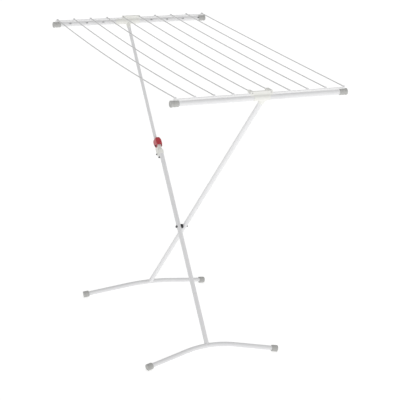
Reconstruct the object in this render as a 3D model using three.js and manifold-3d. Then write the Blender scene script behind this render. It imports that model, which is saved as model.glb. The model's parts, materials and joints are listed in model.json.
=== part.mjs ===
// A clothes drying rack: two crossed legs on arched feet, a rail on top of each leg,
// and ten lines stretched between the rails. Millimetres, +Z up, origin on the floor
// at the middle of the rack. The front rail is towards -Y.
import * as THREE from "three";
import { mergeVertices } from "three/addons/utils/BufferGeometryUtils.js";
import Module from "manifold-3d";

const wasm = await Module();
wasm.setup();

// ---------------------------------------------------------------- driving dimensions

// Stance. Both legs turn about one pivot and lean the same way from the vertical.
const LEAN = THREE.MathUtils.degToRad(41.1);
const FOOT_REACH = 484; // pivot to the line through a foot's two ends
const RAIL_REACH = 827.8; // pivot to the rail's axis
const LEG_SPACING = 22.3; // between the two legs' axes, along X
const LEG_MIDDLE_X = -0.25; // the middle of the two legs

// Tubes
const LEG_RADIUS = 8;
const LEG_WALL = 1.2;
const INNER_TUBE_RADIUS = 6;
const INNER_TUBE_WALL = 1;
const INNER_TUBE_OFFSET = 21.4; // the sliding tube's axis behind the outer tube's
const GAP = 0.3; // between pieces that touch or enclose each other

// Feet: straight at both ends, curved in the middle
const FOOT_RADIUS = 8;
const FOOT_HALF_SPAN = 235; // centre of the foot to the middle of a cap
const FOOT_SLOPE = 0.233; // rise per run of the straight ends
const FOOT_BEND_HALF = 92; // half the width of the curved middle
const FOOT_CAP_RADIUS = 11.6;
const FOOT_CAP_LENGTH = 21;
const FOOT_CAP_WALL = 2;
const SOLE_HEIGHT = 11; // a cap's middle above the floor

// Rails: a round tube with an upright fin that carries the lines
const RAIL_HALF_LENGTH = 301.2;
const RAIL_RADIUS = 8.5;
const RAIL_WALL = 1.2;
const FIN_HEIGHT = 15.6; // top of the fin above the rail's axis
const FIN_THICKNESS = 2;
const FIN_HALF_LENGTH = 293;
const BEAD_RADIUS = 1.4; // rolled edge along the fin
const EYE_HALF_WIDTH = 4; // an eye stands up from the fin round each line
const EYE_THICKNESS = 2.4;
const EYE_TOP = 20.6; // above the rail's axis
const RAIL_CAP_RADIUS = 10.7;
const RAIL_CAP_LENGTH = 27;
const RAIL_CAP_WALL = 2;
const SLOT_SHIFT = -17; // a slot in the rail's inner side, from its line, along X
const SLOT_WIDTH = 8;
const SLOT_Z = [1.5, 5.5]; // above the rail's axis

// Lines
const LINE_COUNT = 10;
const LINE_RADIUS = 1.9;
const LINE_PITCH = 63.8;
const LINE_SHIFT = 2; // of the whole set, along X
const LINE_HEIGHT = 17.7; // above the rail's axis
const LINE_TAIL = 1; // what stands out past the fin
const LINE_SAG_FIRST = 12; // of the line at the -X end
const LINE_SAG_LAST = 2; // of the line at the +X end

// Brackets between a leg and its rail
const BRACKET_WALL = 1.5; // round the rail
const BRACKET_SLAB = 3.3; // half thickness round the fin
const BRACKET_TOP = 22;
const SOCKET_WALL = 1.3;
const SOCKET_LENGTH = 27; // from the rail's axis to the socket's mouth
const LEG_TOP_SETBACK = 13; // the leg's end from the rail's axis
const GUSSET_HALF = 2.4; // half thickness
const GUSSET_DROP = 24; // down the leg
const FRONT_SLEEVE_X = [-25, 31];
const FRONT_SLAB_X = [-35, 40];
const BACK_SLEEVE_X = [-60, 33];
const BACK_SLAB_X = [-34, 35];
const BRACKET_LINE_HOLE = 2.6;
// Two arms of the front bracket reach inwards and take the lines either side of the leg.
const ARM_Z = [12, 22];
const ARM_BACK = 1; // an arm starts this far inside the fin's face
const LEFT_ARM = { line: 4, left: 4.5, right: 4.5, reach: 25 };
const RIGHT_ARM = { line: 5, left: 4.5, right: 6.5, reach: 32 };

// Pivot
const BOLT_RADIUS = 3;
const BOLT_HEAD_RADIUS = 3.9;
const BOLT_HEAD_HEIGHT = 2.4;
const SADDLE_RADIUS = 4.8;
const SADDLE_DEPTH = 5; // how far a saddle wraps the tube
const SADDLE_BACK = 2.4; // a saddle's thickness behind the tube
const SPACER_RADIUS = 7.8;

// Clamp on the telescopic leg. Heights are measured up the leg from the pivot.
const OUTER_TUBE_TOP = 290;
const INNER_TUBE_FOOT = 277;
const COLLAR_WALL = 1.5;
const COLLAR_CUP = [281, 296];
const SPIGOT_FOOT = 262;
const GUIDE_WALL = 3;
const GUIDE_SPAN = [283, 312];
const NECK_WALL = 1.4;
const NECK_TOP = 326;
const BOSS_HALF_WIDTH = 8;
const BOSS_FRONT = 4;
const PIN_RADIUS = 3.5;
const PIN_HALF_LENGTH = 13.4;
const PIN_AT = { y: 9.6, z: 316 };
const LEVER_HALF_WIDTH = 10.4;
const LEVER_WALL = 2;
const LEVER_FRONT = -4.5;
const LEVER_BACK = 26;
const LEVER_TOP = 347;
const LEVER_LIP = 317; // lower edge of the lever's front wall
const LEVER_HEEL = 310.5; // lower edge of its cheeks
const LEVER_NOTCH_GAP = 1; // round the sliding tube
const LEVER_BACK_LIP = 326; // lower edge of the cheeks behind the pin
const PAD_HEIGHT = 11;
const PAD_HALF_WIDTH = 5;
const PAD_DEPTH = 6;
const SCREW_RADIUS = 1.5;
const SCREW_HEAD_RADIUS = 3;
const SCREW_HEAD_HEIGHT = 1.8;
const SCREW_LENGTH = 5;
const SCREW_AT_Z = 288;
const PLUG_HEAD_HEIGHT = 2;
const PLUG_LENGTH = 12;

// ---------------------------------------------------------------- derived places

const FIXED_LEG_X = LEG_MIDDLE_X + LEG_SPACING / 2;
const SLIDING_LEG_X = LEG_MIDDLE_X - LEG_SPACING / 2;
const PIVOT_HEIGHT = SOLE_HEIGHT + FOOT_REACH * Math.cos(LEAN);
const RAIL_Y = RAIL_REACH * Math.sin(LEAN);
const RAIL_Z = PIVOT_HEIGHT + RAIL_REACH * Math.cos(LEAN);
const FRONT_RAIL = point(0, -RAIL_Y, RAIL_Z);
const BACK_RAIL = point(
  0,
  RAIL_Y + INNER_TUBE_OFFSET * Math.cos(LEAN),
  RAIL_Z - INNER_TUBE_OFFSET * Math.sin(LEAN),
);
const FOOT_RISE = FOOT_SLOPE * (FOOT_HALF_SPAN - FOOT_BEND_HALF / 2);
const FAR = 1000; // longer than anything it cuts

// ---------------------------------------------------------------- colours

const WHITE_PAINT = { color: 0xe9e9ea, roughness: 0.35, metalness: 0.1 };
const WHITE_PLASTIC = { color: 0xe6e4dc, roughness: 0.45, metalness: 0 };
const GREY_PLASTIC = { color: 0xb0b1af, roughness: 0.55, metalness: 0 };
const RED_PLASTIC = { color: 0xb0303a, roughness: 0.4, metalness: 0 };
const BLACK_PLASTIC = { color: 0x1b1b1c, roughness: 0.5, metalness: 0 };
const STEEL = { color: 0x55575a, roughness: 0.4, metalness: 0.9 };
const LINE_COAT = { color: 0xdcdcdc, roughness: 0.6, metalness: 0 };

// ---------------------------------------------------------------- small tools

function point(x, y, z) {
  return new THREE.Vector3(x, y, z);
}

function solidOf(geometry) {
  const bare = geometry.clone();
  bare.deleteAttribute("normal");
  bare.deleteAttribute("uv");
  const merged = mergeVertices(bare);
  const mesh = new wasm.Mesh({
    numProp: 3,
    vertProperties: merged.attributes.position.array,
    triVerts: new Uint32Array(merged.index.array),
  });
  return new wasm.Manifold(mesh);
}

function geometryOf(solid) {
  const mesh = solid.getMesh();
  const geometry = new THREE.BufferGeometry();
  geometry.setAttribute("position", new THREE.BufferAttribute(mesh.vertProperties, 3));
  geometry.setIndex(new THREE.BufferAttribute(mesh.triVerts, 1));
  return geometry;
}

function bar(radius, from, to, segments = 24) {
  const axis = to.clone().sub(from);
  const geometry = new THREE.CylinderGeometry(radius, radius, axis.length(), segments);
  const turn = new THREE.Quaternion().setFromUnitVectors(point(0, 1, 0), axis.clone().normalize());
  geometry.applyQuaternion(turn);
  const middle = from.clone().add(to).multiplyScalar(0.5);
  geometry.translate(middle.x, middle.y, middle.z);
  return solidOf(geometry);
}

function block(low, high) {
  const size = high.clone().sub(low);
  const middle = low.clone().add(high).multiplyScalar(0.5);
  const geometry = new THREE.BoxGeometry(size.x, size.y, size.z);
  geometry.translate(middle.x, middle.y, middle.z);
  return solidOf(geometry);
}

// A flat plate across X, cut to an outline given as [y, z] corners.
function plate(corners, fromX, toX) {
  const shape = new THREE.Shape(corners.map(([y, z]) => new THREE.Vector2(y, z)));
  const geometry = new THREE.ExtrudeGeometry(shape, { depth: toX - fromX, bevelEnabled: false });
  const axes = new THREE.Matrix4().makeBasis(point(0, 1, 0), point(0, 0, 1), point(1, 0, 0));
  geometry.applyMatrix4(axes);
  geometry.translate(fromX, 0, 0);
  return solidOf(geometry);
}

function circle(radius, segments) {
  const corners = [];
  for (let i = 0; i < segments; i += 1) {
    const angle = (i / segments) * Math.PI * 2;
    corners.push(new THREE.Vector2(radius * Math.cos(angle), radius * Math.sin(angle)));
  }
  return corners;
}

function addPiece(group, name, look, shape) {
  const geometry = shape.isBufferGeometry ? shape : geometryOf(shape);
  const mesh = new THREE.Mesh(geometry, new THREE.MeshStandardMaterial(look));
  mesh.name = name;
  group.add(mesh);
  return mesh;
}

// ---------------------------------------------------------------- groups

const rack = new THREE.Group();
rack.position.y = -(FRONT_RAIL.y + BACK_RAIL.y) / 2;

function legGroup(turn) {
  const group = new THREE.Group();
  group.position.z = PIVOT_HEIGHT;
  group.rotation.x = turn;
  rack.add(group);
  return group;
}

// A rail group stands upright again on top of its leaning leg.
function railGroup(leg, offset) {
  const group = new THREE.Group();
  group.position.set(0, offset, RAIL_REACH);
  group.rotation.x = -leg.rotation.x;
  leg.add(group);
  return group;
}

const fixedLeg = legGroup(LEAN);
const slidingLeg = legGroup(-LEAN);
const frontRail = railGroup(fixedLeg, 0);
const backRail = railGroup(slidingLeg, INNER_TUBE_OFFSET);
rack.updateMatrixWorld(true);

// ---------------------------------------------------------------- feet

// The bent tube's centre line, in the plane of its leg.
function footCurve(endX) {
  const endZ = -FOOT_REACH - FOOT_SLOPE * (endX - FOOT_HALF_SPAN);
  const bendZ = -FOOT_REACH + FOOT_SLOPE * (FOOT_HALF_SPAN - FOOT_BEND_HALF);
  const cornerZ = -FOOT_REACH + FOOT_SLOPE * FOOT_HALF_SPAN;
  const left = point(-FOOT_BEND_HALF, 0, bendZ);
  const right = point(FOOT_BEND_HALF, 0, bendZ);
  const path = new THREE.CurvePath();
  path.add(new THREE.LineCurve3(point(-endX, 0, endZ), left));
  path.add(new THREE.QuadraticBezierCurve3(left, point(0, 0, cornerZ), right));
  path.add(new THREE.LineCurve3(right, point(endX, 0, endZ)));
  return path;
}

function footTube() {
  const alongSlope = Math.hypot(1, FOOT_SLOPE);
  const tail = (FOOT_CAP_LENGTH / 2 - FOOT_CAP_WALL - GAP) / alongSlope;
  const section = new THREE.Shape(circle(FOOT_RADIUS, 16));
  section.holes.push(new THREE.Path(circle(FOOT_RADIUS - LEG_WALL, 12)));
  return new THREE.ExtrudeGeometry(section, {
    steps: 24,
    extrudePath: footCurve(FOOT_HALF_SPAN + tail),
  });
}

// A cup over the tube's end, with a flat sole on the floor. side is -1 or +1.
function footCap(leg, side) {
  const axis = point(side, 0, -FOOT_SLOPE).normalize();
  const middle = point(side * FOOT_HALF_SPAN, 0, -FOOT_REACH);
  const along = (distance) => middle.clone().addScaledVector(axis, distance);
  const half = FOOT_CAP_LENGTH / 2;
  const shell = bar(FOOT_CAP_RADIUS, along(-half), along(half));
  const bore = bar(FOOT_RADIUS + GAP, along(-half - 1), along(half - FOOT_CAP_WALL));
  const floor = new THREE.BoxGeometry(FAR, FAR * 2, 2 * SOLE_HEIGHT);
  floor.translate(0, 0, -SOLE_HEIGHT);
  floor.applyMatrix4(leg.matrixWorld.clone().invert());
  return shell.subtract(bore).subtract(solidOf(floor));
}

function addFoot(leg, name) {
  addPiece(leg, name, WHITE_PAINT, footTube());
  addPiece(leg, `${name}_cap_left`, GREY_PLASTIC, footCap(leg, -1));
  addPiece(leg, `${name}_cap_right`, GREY_PLASTIC, footCap(leg, 1));
}

addFoot(fixedLeg, "rear_foot");
addFoot(slidingLeg, "front_foot");

// ---------------------------------------------------------------- legs

function boltHole(x) {
  return bar(BOLT_RADIUS + GAP, point(x - 2 * LEG_RADIUS, 0, 0), point(x + 2 * LEG_RADIUS, 0, 0));
}

// A straight tube from the top of a foot's arch, saddled over the foot.
function legTube(x, top) {
  const archZ = FOOT_RISE - FOOT_REACH;
  const outside = bar(LEG_RADIUS, point(x, 0, archZ), point(x, 0, top));
  const inside = bar(LEG_RADIUS - LEG_WALL, point(x, 0, archZ - 1), point(x, 0, top + 1));
  const saddle = bar(FOOT_RADIUS + GAP, point(-FAR, 0, archZ), point(FAR, 0, archZ));
  return outside.subtract(inside).subtract(saddle).subtract(boltHole(x));
}

addPiece(fixedLeg, "fixed_leg", WHITE_PAINT, legTube(FIXED_LEG_X, RAIL_REACH - LEG_TOP_SETBACK));
addPiece(slidingLeg, "outer_tube", WHITE_PAINT, legTube(SLIDING_LEG_X, OUTER_TUBE_TOP));

function innerTube() {
  const foot = point(SLIDING_LEG_X, INNER_TUBE_OFFSET, INNER_TUBE_FOOT);
  const top = point(SLIDING_LEG_X, INNER_TUBE_OFFSET, RAIL_REACH - LEG_TOP_SETBACK);
  const past = point(0, 0, 1);
  const inside = bar(INNER_TUBE_RADIUS - INNER_TUBE_WALL, foot.clone().sub(past), top.clone().add(past));
  return bar(INNER_TUBE_RADIUS, foot, top).subtract(inside);
}

function innerTubePlug() {
  const at = (z) => point(SLIDING_LEG_X, INNER_TUBE_OFFSET, z);
  const mouth = INNER_TUBE_FOOT - GAP;
  const head = bar(INNER_TUBE_RADIUS, at(mouth - PLUG_HEAD_HEIGHT), at(mouth));
  const stem = bar(INNER_TUBE_RADIUS - INNER_TUBE_WALL - GAP, at(mouth - 1), at(mouth + PLUG_LENGTH));
  return head.add(stem);
}

addPiece(slidingLeg, "inner_tube", WHITE_PAINT, innerTube());
addPiece(slidingLeg, "inner_tube_plug", BLACK_PLASTIC, innerTubePlug());

// ---------------------------------------------------------------- pivot

// A disc that wraps one side of a tube. side is -1 or +1, away from the other leg.
function saddle(x, side) {
  const outer = x + side * (LEG_RADIUS + SADDLE_BACK);
  const inner = x + side * (LEG_RADIUS - SADDLE_DEPTH);
  const disc = bar(SADDLE_RADIUS, point(outer, 0, 0), point(inner, 0, 0));
  const tube = bar(LEG_RADIUS + GAP, point(x, 0, -FAR), point(x, 0, FAR));
  return disc.subtract(tube);
}

function pivotSpacer() {
  const from = SLIDING_LEG_X + LEG_RADIUS + GAP;
  const to = FIXED_LEG_X - LEG_RADIUS - GAP;
  return bar(SPACER_RADIUS, point(from, 0, 0), point(to, 0, 0)).subtract(boltHole((from + to) / 2));
}

const BOLT_HEAD_SEAT = SLIDING_LEG_X - LEG_RADIUS - SADDLE_BACK - GAP;
const BOLT_END = FIXED_LEG_X + LEG_RADIUS + 1;

function pivotBolt() {
  const shank = bar(BOLT_RADIUS, point(BOLT_HEAD_SEAT, 0, 0), point(BOLT_END, 0, 0));
  const headEnd = point(BOLT_HEAD_SEAT - BOLT_HEAD_HEIGHT, 0, 0);
  return shank.add(bar(BOLT_HEAD_RADIUS, headEnd, point(BOLT_HEAD_SEAT, 0, 0)));
}

function pivotNut() {
  const from = point(0, 0, 0);
  const bore = bar(BOLT_RADIUS + GAP, from, point(BOLT_END + GAP, 0, 0));
  return saddle(FIXED_LEG_X, 1).subtract(bore);
}

const leftSaddle = saddle(SLIDING_LEG_X, -1).subtract(boltHole(SLIDING_LEG_X));
addPiece(slidingLeg, "pivot_saddle", BLACK_PLASTIC, leftSaddle);
addPiece(fixedLeg, "pivot_spacer", BLACK_PLASTIC, pivotSpacer());
addPiece(fixedLeg, "pivot_bolt", STEEL, pivotBolt());
addPiece(fixedLeg, "pivot_nut_cap", BLACK_PLASTIC, pivotNut());

// ---------------------------------------------------------------- clamp

// The collar, lever and pad are drawn round x = 0 and moved to the leg.
const clamp = new THREE.Group();
clamp.position.x = SLIDING_LEG_X;
slidingLeg.add(clamp);

function upright(radius, y, fromZ, toZ) {
  return bar(radius, point(0, y, fromZ), point(0, y, toZ));
}

function collarScrewBar(radius, fromX, toX) {
  const y = INNER_TUBE_OFFSET;
  return bar(radius, point(fromX, y, SCREW_AT_Z), point(toX, y, SCREW_AT_Z), 16);
}

const GUIDE_RADIUS = INNER_TUBE_RADIUS + GAP + GUIDE_WALL;

function clampCollar() {
  const cup = upright(LEG_RADIUS + GAP + COLLAR_WALL, 0, COLLAR_CUP[0], COLLAR_CUP[1]);
  const cupBore = upright(LEG_RADIUS + GAP, 0, COLLAR_CUP[0] - 1, OUTER_TUBE_TOP + GAP);
  const spigot = upright(LEG_RADIUS - LEG_WALL - GAP, 0, SPIGOT_FOOT, COLLAR_CUP[1] - 1);
  const guide = upright(GUIDE_RADIUS, INNER_TUBE_OFFSET, GUIDE_SPAN[0], GUIDE_SPAN[1]);
  const neckRadius = INNER_TUBE_RADIUS + GAP + NECK_WALL;
  const neck = upright(neckRadius, INNER_TUBE_OFFSET, GUIDE_SPAN[0], NECK_TOP);
  const bridge = block(
    point(-LEG_RADIUS / 2, LEG_RADIUS + GAP + COLLAR_WALL / 2, COLLAR_CUP[0] + GAP),
    point(LEG_RADIUS / 2, INNER_TUBE_OFFSET, COLLAR_CUP[1]),
  );
  const boss = block(
    point(-BOSS_HALF_WIDTH, BOSS_FRONT, COLLAR_CUP[1] - 1),
    point(BOSS_HALF_WIDTH, INNER_TUBE_OFFSET - neckRadius / 2, NECK_TOP),
  );
  const bore = upright(INNER_TUBE_RADIUS + GAP, INNER_TUBE_OFFSET, COLLAR_CUP[0] - FAR / 10, FAR);
  const pinHole = bar(PIN_RADIUS + GAP, point(-FAR, PIN_AT.y, PIN_AT.z), point(FAR, PIN_AT.y, PIN_AT.z));
  const screwHole = collarScrewBar(SCREW_RADIUS + GAP, -GUIDE_RADIUS - 1, 0);
  const body = cup.subtract(cupBore).add(spigot).add(guide).add(neck).add(bridge).add(boss);
  return body.subtract(bore).subtract(pinHole).subtract(screwHole);
}

// A screw in the guide's wall, on the -X side; its tip stops short of the sliding tube.
function collarScrew() {
  const seat = -GUIDE_RADIUS - GAP;
  const tip = Math.min(seat + SCREW_LENGTH, -INNER_TUBE_RADIUS - GAP);
  const head = collarScrewBar(SCREW_HEAD_RADIUS, seat - SCREW_HEAD_HEIGHT, seat);
  return head.add(collarScrewBar(SCREW_RADIUS, seat - 1, tip));
}

function leverPin() {
  const end = (side) => point(side * PIN_HALF_LENGTH, PIN_AT.y, PIN_AT.z);
  return bar(PIN_RADIUS, end(-1), end(1));
}

// A hood over the front of the clamp: two cheeks on the pin, a front wall and a roof.
function clampLever() {
  const cheek = [
    [PIN_AT.y - PIN_RADIUS - 1, LEVER_HEEL],
    [PIN_AT.y + PIN_RADIUS + 1, LEVER_HEEL],
    [LEVER_BACK, LEVER_BACK_LIP],
    [LEVER_BACK, LEVER_TOP],
    [LEVER_FRONT, LEVER_TOP],
    [LEVER_FRONT, LEVER_LIP],
  ];
  const outside = plate(cheek, -LEVER_HALF_WIDTH, LEVER_HALF_WIDTH);
  const hollow = block(
    point(LEVER_WALL - LEVER_HALF_WIDTH, LEVER_FRONT + LEVER_WALL, LEVER_HEEL - 1),
    point(LEVER_HALF_WIDTH - LEVER_WALL, LEVER_BACK + 1, LEVER_TOP - LEVER_WALL),
  );
  const underLip = block(
    point(LEVER_WALL - LEVER_HALF_WIDTH, LEVER_FRONT - 1, LEVER_HEEL - 1),
    point(LEVER_HALF_WIDTH - LEVER_WALL, 0, LEVER_LIP),
  );
  const notchHalf = INNER_TUBE_RADIUS + LEVER_NOTCH_GAP;
  const notch = block(
    point(-notchHalf, INNER_TUBE_OFFSET - notchHalf, LEVER_HEEL),
    point(notchHalf, LEVER_BACK + 1, LEVER_TOP + 1),
  );
  const pinHole = bar(PIN_RADIUS + GAP, point(-FAR, PIN_AT.y, PIN_AT.z), point(FAR, PIN_AT.y, PIN_AT.z));
  return outside.subtract(hollow).subtract(underLip).subtract(notch).subtract(pinHole);
}

// The block that the lever presses on the sliding tube; it stands on the collar's boss.
function clampPad() {
  const back = INNER_TUBE_OFFSET - INNER_TUBE_RADIUS - GAP;
  const foot = NECK_TOP + GAP;
  return block(
    point(-PAD_HALF_WIDTH, back - PAD_DEPTH, foot),
    point(PAD_HALF_WIDTH, back, foot + PAD_HEIGHT),
  );
}

addPiece(clamp, "clamp_collar", WHITE_PLASTIC, clampCollar());
addPiece(clamp, "collar_screw", BLACK_PLASTIC, collarScrew());
addPiece(clamp, "lever_pin", BLACK_PLASTIC, leverPin());
addPiece(clamp, "clamp_lever", RED_PLASTIC, clampLever());
addPiece(clamp, "clamp_pad", BLACK_PLASTIC, clampPad());

// ---------------------------------------------------------------- rails

function lineX(index) {
  return LINE_SHIFT + (index - (LINE_COUNT - 1) / 2) * LINE_PITCH;
}

// Round body, fin and bead, grown by a margin on every side.
function railOutline(halfLength, margin) {
  const finHalf = FIN_THICKNESS / 2 + margin;
  const beadZ = FIN_HEIGHT - BEAD_RADIUS;
  const finEnd = Math.min(halfLength, FIN_HALF_LENGTH + margin);
  const body = bar(RAIL_RADIUS + margin, point(-halfLength, 0, 0), point(halfLength, 0, 0));
  const fin = block(point(-finEnd, -finHalf, 0), point(finEnd, finHalf, beadZ));
  const bead = bar(BEAD_RADIUS + margin, point(-finEnd, 0, beadZ), point(finEnd, 0, beadZ), 10);
  return body.add(fin).add(bead);
}

// The small plate that stands up from the fin round a line.
function railEye(index, margin) {
  const x = lineX(index);
  const half = EYE_HALF_WIDTH + margin;
  const thick = EYE_THICKNESS / 2 + margin;
  const foot = (RAIL_RADIUS + FIN_HEIGHT) / 2;
  return block(point(x - half, -thick, foot), point(x + half, thick, EYE_TOP + margin));
}

function lineSag(index) {
  return THREE.MathUtils.mapLinear(index, 0, LINE_COUNT - 1, LINE_SAG_FIRST, LINE_SAG_LAST);
}

function lineHole(index, radius, reach) {
  const x = lineX(index);
  return bar(radius, point(x, -reach, LINE_HEIGHT), point(x, reach, LINE_HEIGHT), 12);
}

function withEyes(outline, margin) {
  let solid = outline;
  for (let i = 0; i < LINE_COUNT; i += 1) {
    solid = solid.add(railEye(i, margin));
  }
  return solid;
}

// inner is the side that faces the other rail: +1 is +Y.
function rail(inner) {
  const halfLength = RAIL_HALF_LENGTH - RAIL_CAP_WALL - GAP;
  const bore = bar(RAIL_RADIUS - RAIL_WALL, point(-FAR, 0, 0), point(FAR, 0, 0));
  let solid = withEyes(railOutline(halfLength, 0), 0).subtract(bore);
  for (let i = 0; i < LINE_COUNT; i += 1) {
    solid = solid.subtract(lineHole(i, LINE_RADIUS + GAP, RAIL_RADIUS));
    solid = solid.subtract(clipSlot(i, inner));
  }
  return solid;
}

function clipSlot(index, inner) {
  const x = lineX(index) + SLOT_SHIFT;
  const low = point(x - SLOT_WIDTH / 2, Math.min(0, inner * FAR), SLOT_Z[0]);
  const high = point(x + SLOT_WIDTH / 2, Math.max(0, inner * FAR), SLOT_Z[1]);
  return block(low, high);
}

// A cup over the rail's end, slotted for the fin. side is -1 or +1.
function railCap(side) {
  const end = side * RAIL_HALF_LENGTH;
  const mouth = side * (RAIL_HALF_LENGTH - RAIL_CAP_LENGTH);
  const shell = bar(RAIL_CAP_RADIUS, point(mouth, 0, 0), point(end, 0, 0));
  return shell.subtract(withEyes(railOutline(RAIL_HALF_LENGTH - RAIL_CAP_WALL, GAP), GAP));
}

function sleeveOf([left, right]) {
  return bar(RAIL_RADIUS + GAP + BRACKET_WALL, point(left, 0, 0), point(right, 0, 0));
}

function slabOf([left, right]) {
  return block(point(left, -BRACKET_SLAB, 0), point(right, BRACKET_SLAB, BRACKET_TOP));
}

// lean is the way the leg comes up to the rail: +1 from behind it, -1 from the front.
function socketOf(legX, legRadius, lean) {
  const down = point(0, lean * Math.sin(LEAN), -Math.cos(LEAN));
  const onLeg = (distance) => down.clone().multiplyScalar(distance).setX(legX);
  return bar(legRadius + GAP + SOCKET_WALL, onLeg(0), onLeg(SOCKET_LENGTH));
}

// A web on the +X side of the front socket, under the sleeve.
function frontGusset() {
  const end = FRONT_SLEEVE_X[1];
  const outline = new THREE.Shape([
    new THREE.Vector2(FIXED_LEG_X, 0),
    new THREE.Vector2(FIXED_LEG_X, -GUSSET_DROP),
    new THREE.Vector2(FIXED_LEG_X + LEG_RADIUS, -GUSSET_DROP),
    new THREE.Vector2(end, -RAIL_RADIUS),
    new THREE.Vector2(end, 0),
  ]);
  const gusset = new THREE.ExtrudeGeometry(outline, { depth: 2 * GUSSET_HALF, bevelEnabled: false });
  gusset.translate(0, 0, -GUSSET_HALF);
  gusset.rotateX(Math.PI / 2 + LEAN);
  return solidOf(gusset);
}

function legBore(legX, legRadius, lean) {
  const down = point(0, lean * Math.sin(LEAN), -Math.cos(LEAN));
  const onLeg = (distance) => down.clone().multiplyScalar(distance).setX(legX);
  return bar(legRadius + GAP, onLeg(LEG_TOP_SETBACK - GAP), onLeg(FAR / 2));
}

function armOf({ line, left, right, reach }) {
  const x = lineX(line);
  return block(point(x - left, ARM_BACK, ARM_Z[0]), point(x + right, reach, ARM_Z[1]));
}

// A bore that follows a line as it leaves the rail. inner is the side of the other rail.
function lineBore(index, inner) {
  const slope = (4 * lineSag(index)) / (BACK_RAIL.y - FRONT_RAIL.y);
  const along = (distance) => point(lineX(index), inner * distance, LINE_HEIGHT - slope * distance);
  return bar(BRACKET_LINE_HOLE, along(-2 * BRACKET_SLAB), along(2 * RIGHT_ARM.reach), 12);
}

// Takes the room of the leg, the rail and the lines out of a bracket.
function bored(body, bore, inner) {
  let solid = body.subtract(bore);
  solid = solid.subtract(withEyes(railOutline(RAIL_HALF_LENGTH, GAP), GAP));
  for (let i = 0; i < LINE_COUNT; i += 1) {
    solid = solid.subtract(lineBore(i, inner));
  }
  return solid;
}

function frontBracket() {
  const socket = socketOf(FIXED_LEG_X, LEG_RADIUS, 1).add(frontGusset());
  const grip = sleeveOf(FRONT_SLEEVE_X).add(slabOf(FRONT_SLAB_X));
  const body = grip.add(socket).add(armOf(LEFT_ARM)).add(armOf(RIGHT_ARM));
  return bored(body, legBore(FIXED_LEG_X, LEG_RADIUS, 1), 1);
}

function backBracket() {
  const socket = socketOf(SLIDING_LEG_X, INNER_TUBE_RADIUS, -1);
  const body = sleeveOf(BACK_SLEEVE_X).add(slabOf(BACK_SLAB_X)).add(socket);
  return bored(body, legBore(SLIDING_LEG_X, INNER_TUBE_RADIUS, -1), -1);
}

function addRail(group, name, inner) {
  addPiece(group, name, WHITE_PAINT, rail(inner));
  addPiece(group, `${name}_cap_left`, GREY_PLASTIC, railCap(-1));
  addPiece(group, `${name}_cap_right`, GREY_PLASTIC, railCap(1));
}

addRail(frontRail, "front_rail", 1);
addPiece(frontRail, "front_bracket", WHITE_PLASTIC, frontBracket());
addRail(backRail, "back_rail", -1);
addPiece(backRail, "back_bracket", WHITE_PLASTIC, backBracket());

// ---------------------------------------------------------------- lines

// Each line hangs in a shallow parabola through the holes of both fins.
function lineCurve(index) {
  const past = FIN_THICKNESS / 2 + LINE_TAIL;
  const start = FRONT_RAIL.clone().add(point(lineX(index), -past, LINE_HEIGHT));
  const end = BACK_RAIL.clone().add(point(lineX(index), past, LINE_HEIGHT));
  const control = start.clone().add(end).multiplyScalar(0.5).sub(point(0, 0, 2 * lineSag(index)));
  return new THREE.QuadraticBezierCurve3(start, control, end);
}

for (let i = 0; i < LINE_COUNT; i += 1) {
  const section = new THREE.Shape(circle(LINE_RADIUS, 8));
  const tube = new THREE.ExtrudeGeometry(section, { steps: 16, extrudePath: lineCurve(i) });
  addPiece(rack, `drying_line_${i + 1}`, LINE_COAT, tube);
}

export default rack;
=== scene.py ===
"""The looks of a folding clothes drying rack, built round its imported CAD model."""

import json
import math

import bmesh
import bpy
import numpy as np
from mathutils import Matrix, Vector


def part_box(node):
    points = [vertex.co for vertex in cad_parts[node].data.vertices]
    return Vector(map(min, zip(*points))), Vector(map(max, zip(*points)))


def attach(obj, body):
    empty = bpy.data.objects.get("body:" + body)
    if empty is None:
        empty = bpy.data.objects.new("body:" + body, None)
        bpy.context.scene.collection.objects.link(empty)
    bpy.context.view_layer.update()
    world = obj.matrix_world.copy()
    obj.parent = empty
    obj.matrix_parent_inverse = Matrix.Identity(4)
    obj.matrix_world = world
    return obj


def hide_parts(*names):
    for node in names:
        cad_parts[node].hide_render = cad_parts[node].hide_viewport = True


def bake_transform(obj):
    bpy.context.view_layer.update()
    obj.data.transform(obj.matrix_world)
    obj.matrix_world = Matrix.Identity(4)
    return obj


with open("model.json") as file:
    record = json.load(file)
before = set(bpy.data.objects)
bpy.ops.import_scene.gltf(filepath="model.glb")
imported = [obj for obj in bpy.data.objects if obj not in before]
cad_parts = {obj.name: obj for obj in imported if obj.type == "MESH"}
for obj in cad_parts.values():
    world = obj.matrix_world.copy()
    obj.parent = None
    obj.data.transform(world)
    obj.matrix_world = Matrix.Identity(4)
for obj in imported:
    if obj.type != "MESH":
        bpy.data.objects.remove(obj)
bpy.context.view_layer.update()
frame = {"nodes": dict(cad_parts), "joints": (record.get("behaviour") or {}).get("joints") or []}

# ------------------------------------------------------------------ places from the frame

MM = 0.001
joints = {joint["name"]: joint for joint in frame["joints"]}
PIVOT = Vector(joints["fold"]["pos_m"])
UP_SLIDING = -Vector(joints["tension_slide"]["axis"]).normalized()
LEAN_SIN = UP_SLIDING.y
LEAN_COS = UP_SLIDING.z


def box_middle(node):
    low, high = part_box(node)
    return (low + high) / 2


def placed(origin, x_axis, y_axis, z_axis):
    """A matrix that takes local millimetres to the frame's metres."""
    matrix = Matrix.Identity(4)
    for column, axis in enumerate((x_axis, y_axis, z_axis)):
        for row in range(3):
            matrix[row][column] = axis[row] * MM
    for row in range(3):
        matrix[row][3] = origin[row]
    return matrix


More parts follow.
